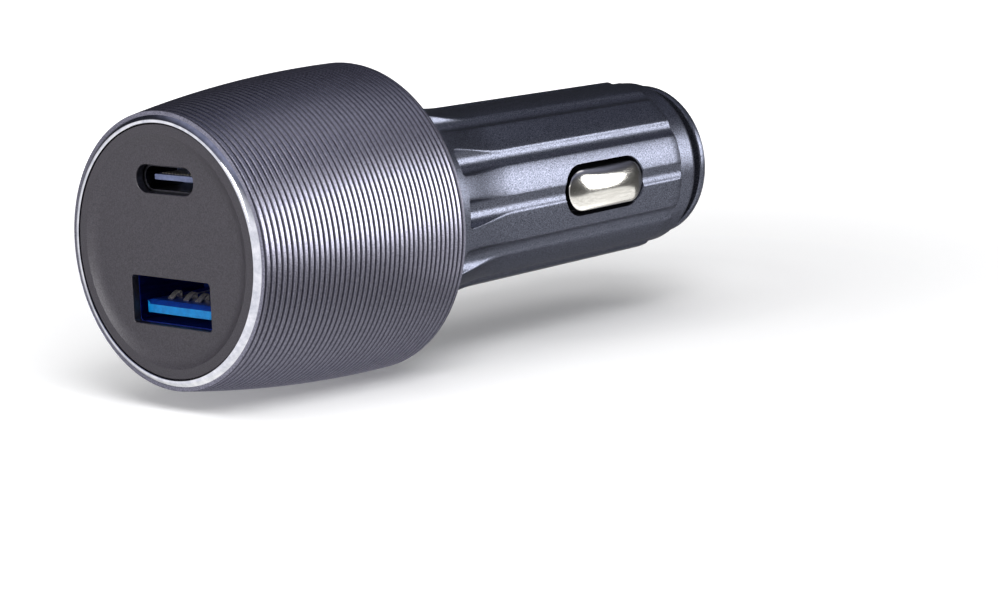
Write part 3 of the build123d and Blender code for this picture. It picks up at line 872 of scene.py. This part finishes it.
# Light: softboxes on the right, in front and close over the head, and one for the lit table beside
# the barrel, show only in what reflects. Two more light plastic and floor. What the metal mirrors
# besides is a dark studio over a pale table, as with black cards round such a plug.
world = bpy.data.worlds.new("studio")
bpy.context.scene.world = world
world.use_nodes = True
surround = world.node_tree.nodes["Background"]
path = node(world, "LightPath")
seen = node(
    world, "Math", {0: path.outputs["Is Camera Ray"], 1: path.outputs["Is Glossy Ray"]},
    operation="MAXIMUM",
)
shown = node(
    world, "Math", {0: seen.outputs[0], 1: path.outputs["Is Transmission Ray"]},
    operation="MAXIMUM",
)
strength = node(world, "MapRange", {"Value": shown.outputs[0], "To Min": 0.3, "To Max": 1.0})
join(world, strength.outputs["Result"], surround.inputs["Strength"])

# What metal mirrors on the right and on the left: how light it is at each height, from -1 below
# to 1 above. Over the horizon it is bluish.
right_levels = (
    (-1.0, 1.0), (-0.8, 0.95), (-0.74, 0.8), (-0.6, 0.28), (-0.4, 0.25), (-0.2, 0.1),
    (0.0, 0.05), (0.4, 0.05), (0.6, 0.12), (0.8, 0.32), (1.0, 0.2),
)
left_levels = (
    (-1.0, 1.0), (-0.7, 0.85), (-0.5, 0.5), (-0.2, 0.15), (0.0, 0.04),
    (0.4, 0.02), (0.6, 0.02), (0.7, 0.08), (0.85, 0.25), (1.0, 0.2),
)
bluish = (0.9, 0.95, 1.35)
direction = node(world, "SeparateXYZ", {"Vector": node(world, "TexCoord").outputs["Generated"]})
height = node(
    world, "MapRange", {"Value": direction.outputs["Z"], "From Min": -1.0, "From Max": 1.0}
)
sides = []
for levels in (right_levels, left_levels):
    ramp = node(world, "ValToRGB", {"Fac": height.outputs["Result"]})
    stops = ramp.color_ramp.elements
    for at, level in levels:
        stop = stops[0] if at == -1 else stops[-1] if at == 1 else stops.new((at + 1) / 2)
        stop.color = [level * part for part in (bluish if at > 0 else (1, 1, 1))] + [1]
    sides.append(ramp.outputs["Color"])

# A Mix node's two colours are its sockets 6 and 7, and the mixed colour is its output 2.
leftward = node(
    world, "MapRange", {"Value": direction.outputs["X"], "From Min": 0.1, "From Max": -0.45}
)
studio = node(
    world, "Mix", {"Factor": leftward.outputs["Result"], 6: sides[0], 7: sides[1]},
    data_type="RGBA",
)
forward = node(
    world, "MapRange", {"Value": direction.outputs["Y"], "From Min": -0.2, "From Max": -0.6}
)
level_down = node(
    world, "MapRange", {"Value": direction.outputs["Z"], "From Min": 0.6, "From Max": 0.25}
)
in_front = node(
    world, "Math", {0: forward.outputs["Result"], 1: level_down.outputs["Result"]},
    operation="MULTIPLY",
)
room = node(
    world, "Mix", {"Factor": in_front.outputs[0], 6: studio.outputs[2], 7: (0.95, 0.95, 1.0, 1)},
    data_type="RGBA",
)
backdrop = node(
    world, "Mix", {"Factor": path.outputs["Is Glossy Ray"], 6: (1, 1, 1, 1), 7: room.outputs[2]},
    data_type="RGBA",
)
join(world, backdrop.outputs[2], surround.inputs["Color"])

# Of each lamp: its place and what it faces, its width and height, all in mm, its power in W, and
# the rays that see it.
for name, place, aim, width, height, power, seen_as in (
    ("softbox_right", (475, 360, 120), (0, 15, 0), 500, 350, 5.2, "glossy"),
    ("softbox_dish", (22, -443, 157), (0, -29, 0), 200, 200, 1.6, "glossy"),
    ("softbox_over_head", (22, 75, 132), (11, -15, 14), 90, 90, 0.017, "glossy"),
    ("table_beside_barrel", (33, 50, -14.5), (31, 50, 0), 84, 46, 0.009, "glossy"),
    ("softbox_key", (300, -180, 330), (0, 0, 0), 330, 330, 1.7, "diffuse"),
    ("softbox_top", (0, -20, 430), (0, 0, 0), 560, 560, 0.9, "diffuse"),
):
    lamp = bpy.data.lights.new(name, "AREA")
    lamp.shape = "ELLIPSE"
    lamp.size = width * MM
    lamp.size_y = height * MM
    lamp.energy = power
    softbox = bpy.data.objects.new(name, lamp)
    bpy.context.collection.objects.link(softbox)
    offset = Matrix.Translation([value * MM for value in place])
    throw = Vector([(a - b) * MM for a, b in zip(aim, place)])
    softbox.matrix_world = offset @ throw.to_track_quat("-Z", "Y").to_matrix().to_4x4()
    softbox.visible_camera = False
    softbox.visible_diffuse = seen_as == "diffuse"
    softbox.visible_glossy = seen_as == "glossy"

bpy.context.scene.view_settings.view_transform = "Standard"
